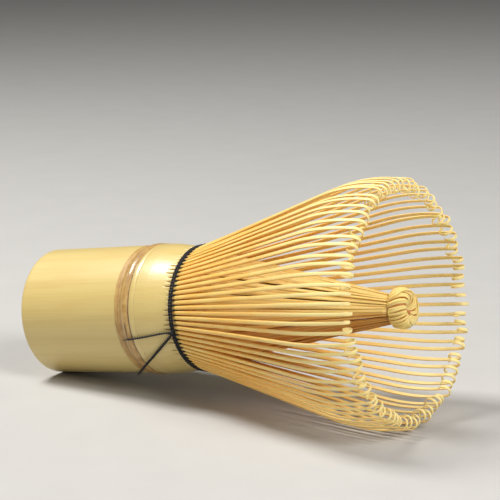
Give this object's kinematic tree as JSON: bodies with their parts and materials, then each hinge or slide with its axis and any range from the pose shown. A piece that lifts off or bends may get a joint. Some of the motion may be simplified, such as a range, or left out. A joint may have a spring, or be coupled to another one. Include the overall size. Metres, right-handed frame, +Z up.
{
  "type": "bamboo tea whisk",
  "caption": "Bamboo tea whisk on its side: hollow handle with node, flared ring of hooked outer tines, tied inner bundle, black thread wound and woven round the roots.",
  "frame": {"origin": "on the surface that the whisk lies on, below the centre of its bounding box", "axes": "+Z up; +X along the lying whisk, from the butt to the tines; the whisk axis rises 8.37 degrees towards the tines, in the XZ plane"},
  "size_m": [0.1154, 0.0626, 0.0627],
  "materials": {
    "bamboo_skin": "satin",
    "bamboo_node": "satin",
    "bamboo_pith": "matte",
    "bamboo_tine": "satin",
    "bamboo_inner": "satin",
    "black_thread": "matte"
  },
  "bodies": {
    "culm": {"handle_internode": "bamboo_skin", "culm_node": "bamboo_node", "node_septum": "bamboo_pith", "split_shoulder": "bamboo_skin", "thread_turn_lower": "black_thread", "thread_turn_upper": "black_thread", "thread_weave": "black_thread", "thread_tie": "black_thread", "thread_tail_long": "black_thread", "thread_tail_short": "black_thread"},
    "inner_bundle": {"inner_tines_01": "bamboo_inner", "inner_tines_02": "bamboo_inner", "inner_tines_03": "bamboo_inner", "inner_tines_04": "bamboo_inner", "inner_tines_05": "bamboo_inner", "inner_tines_06": "bamboo_inner", "inner_tines_07": "bamboo_inner", "inner_tines_08": "bamboo_inner", "inner_tines_09": "bamboo_inner", "inner_tines_10": "bamboo_inner", "inner_knot": "bamboo_inner"},
    "outer_01": {"outer_tines_01": "bamboo_tine"},
    "outer_02": {"outer_tines_02": "bamboo_tine"},
    "outer_03": {"outer_tines_03": "bamboo_tine"},
    "outer_04": {"outer_tines_04": "bamboo_tine"},
    "outer_05": {"outer_tines_05": "bamboo_tine"},
    "outer_06": {"outer_tines_06": "bamboo_tine"},
    "outer_07": {"outer_tines_07": "bamboo_tine"},
    "outer_08": {"outer_tines_08": "bamboo_tine"},
    "outer_09": {"outer_tines_09": "bamboo_tine"},
    "outer_10": {"outer_tines_10": "bamboo_tine"},
    "outer_11": {"outer_tines_11": "bamboo_tine"},
    "outer_12": {"outer_tines_12": "bamboo_tine"},
    "outer_13": {"outer_tines_13": "bamboo_tine"},
    "outer_14": {"outer_tines_14": "bamboo_tine"},
    "outer_15": {"outer_tines_15": "bamboo_tine"},
    "outer_16": {"outer_tines_16": "bamboo_tine"},
    "outer_17": {"outer_tines_17": "bamboo_tine"},
    "outer_18": {"outer_tines_18": "bamboo_tine"},
    "outer_19": {"outer_tines_19": "bamboo_tine"},
    "outer_20": {"outer_tines_20": "bamboo_tine"}
  },
  "joints": [
    {"name": "outer_flex_01", "type": "hinge", "parent": "culm", "child": "outer_01", "pos_m": [-0.00256, 0, 0.00769], "axis": [0, -1, 0], "range_deg": [-5, 3], "stiffness_Nm_per_rad": 0.03},
    {"name": "outer_flex_02", "type": "hinge", "parent": "culm", "child": "outer_02", "pos_m": [-0.00268, 0.00501, 0.00847], "axis": [0.045, -0.9511, -0.3057], "range_deg": [-5, 3], "stiffness_Nm_per_rad": 0.03},
    {"name": "outer_flex_03", "type": "hinge", "parent": "culm", "child": "outer_03", "pos_m": [-0.00302, 0.00954, 0.01075], "axis": [0.0856, -0.809, -0.5815], "range_deg": [-5, 3], "stiffness_Nm_per_rad": 0.03},
    {"name": "outer_flex_04", "type": "hinge", "parent": "culm", "child": "outer_04", "pos_m": [-0.00354, 0.01313, 0.0143], "axis": [0.1178, -0.5878, -0.8004], "range_deg": [-5, 3], "stiffness_Nm_per_rad": 0.03},
    {"name": "outer_flex_05", "type": "hinge", "parent": "culm", "child": "outer_05", "pos_m": [-0.0042, 0.01543, 0.01878], "axis": [0.1385, -0.309, -0.9409], "range_deg": [-5, 3], "stiffness_Nm_per_rad": 0.03},
    {"name": "outer_flex_06", "type": "hinge", "parent": "culm", "child": "outer_06", "pos_m": [-0.00493, 0.01622, 0.02374], "axis": [0.1456, 0, -0.9893], "range_deg": [-5, 3], "stiffness_Nm_per_rad": 0.03},
    {"name": "outer_flex_07", "type": "hinge", "parent": "culm", "child": "outer_07", "pos_m": [-0.00566, 0.01543, 0.0287], "axis": [0.1385, 0.309, -0.9409], "range_deg": [-5, 3], "stiffness_Nm_per_rad": 0.03},
    {"name": "outer_flex_08", "type": "hinge", "parent": "culm", "child": "outer_08", "pos_m": [-0.00631, 0.01313, 0.03318], "axis": [0.1178, 0.5878, -0.8004], "range_deg": [-5, 3], "stiffness_Nm_per_rad": 0.03},
    {"name": "outer_flex_09", "type": "hinge", "parent": "culm", "child": "outer_09", "pos_m": [-0.00684, 0.00954, 0.03673], "axis": [0.0856, 0.809, -0.5815], "range_deg": [-5, 3], "stiffness_Nm_per_rad": 0.03},
    {"name": "outer_flex_10", "type": "hinge", "parent": "culm", "child": "outer_10", "pos_m": [-0.00717, 0.00501, 0.03901], "axis": [0.045, 0.9511, -0.3057], "range_deg": [-5, 3], "stiffness_Nm_per_rad": 0.03},
    {"name": "outer_flex_11", "type": "hinge", "parent": "culm", "child": "outer_11", "pos_m": [-0.00729, 0, 0.03979], "axis": [0, 1, 0], "range_deg": [-5, 3], "stiffness_Nm_per_rad": 0.03},
    {"name": "outer_flex_12", "type": "hinge", "parent": "culm", "child": "outer_12", "pos_m": [-0.00717, -0.00501, 0.03901], "axis": [-0.045, 0.9511, 0.3057], "range_deg": [-5, 3], "stiffness_Nm_per_rad": 0.03},
    {"name": "outer_flex_13", "type": "hinge", "parent": "culm", "child": "outer_13", "pos_m": [-0.00684, -0.00954, 0.03673], "axis": [-0.0856, 0.809, 0.5815], "range_deg": [-5, 3], "stiffness_Nm_per_rad": 0.03},
    {"name": "outer_flex_14", "type": "hinge", "parent": "culm", "child": "outer_14", "pos_m": [-0.00631, -0.01313, 0.03318], "axis": [-0.1178, 0.5878, 0.8004], "range_deg": [-5, 3], "stiffness_Nm_per_rad": 0.03},
    {"name": "outer_flex_15", "type": "hinge", "parent": "culm", "child": "outer_15", "pos_m": [-0.00566, -0.01543, 0.0287], "axis": [-0.1385, 0.309, 0.9409], "range_deg": [-5, 3], "stiffness_Nm_per_rad": 0.03},
    {"name": "outer_flex_16", "type": "hinge", "parent": "culm", "child": "outer_16", "pos_m": [-0.00493, -0.01622, 0.02374], "axis": [-0.1456, 0, 0.9893], "range_deg": [-5, 3], "stiffness_Nm_per_rad": 0.03},
    {"name": "outer_flex_17", "type": "hinge", "parent": "culm", "child": "outer_17", "pos_m": [-0.0042, -0.01543, 0.01878], "axis": [-0.1385, -0.309, 0.9409], "range_deg": [-5, 3], "stiffness_Nm_per_rad": 0.03},
    {"name": "outer_flex_18", "type": "hinge", "parent": "culm", "child": "outer_18", "pos_m": [-0.00354, -0.01313, 0.0143], "axis": [-0.1178, -0.5878, 0.8004], "range_deg": [-5, 3], "stiffness_Nm_per_rad": 0.03},
    {"name": "outer_flex_19", "type": "hinge", "parent": "culm", "child": "outer_19", "pos_m": [-0.00302, -0.00954, 0.01075], "axis": [-0.0856, -0.809, 0.5815], "range_deg": [-5, 3], "stiffness_Nm_per_rad": 0.03},
    {"name": "outer_flex_20", "type": "hinge", "parent": "culm", "child": "outer_20", "pos_m": [-0.00268, -0.00501, 0.00847], "axis": [-0.045, -0.9511, 0.3057], "range_deg": [-5, 3], "stiffness_Nm_per_rad": 0.03},
    {"name": "inner_sway", "type": "hinge", "parent": "culm", "child": "inner_bundle", "pos_m": [-0.00443, 0, 0.02381], "axis": [0, 1, 0], "range_deg": [-2.5, 2.5], "stiffness_Nm_per_rad": 0.5}
  ]
}
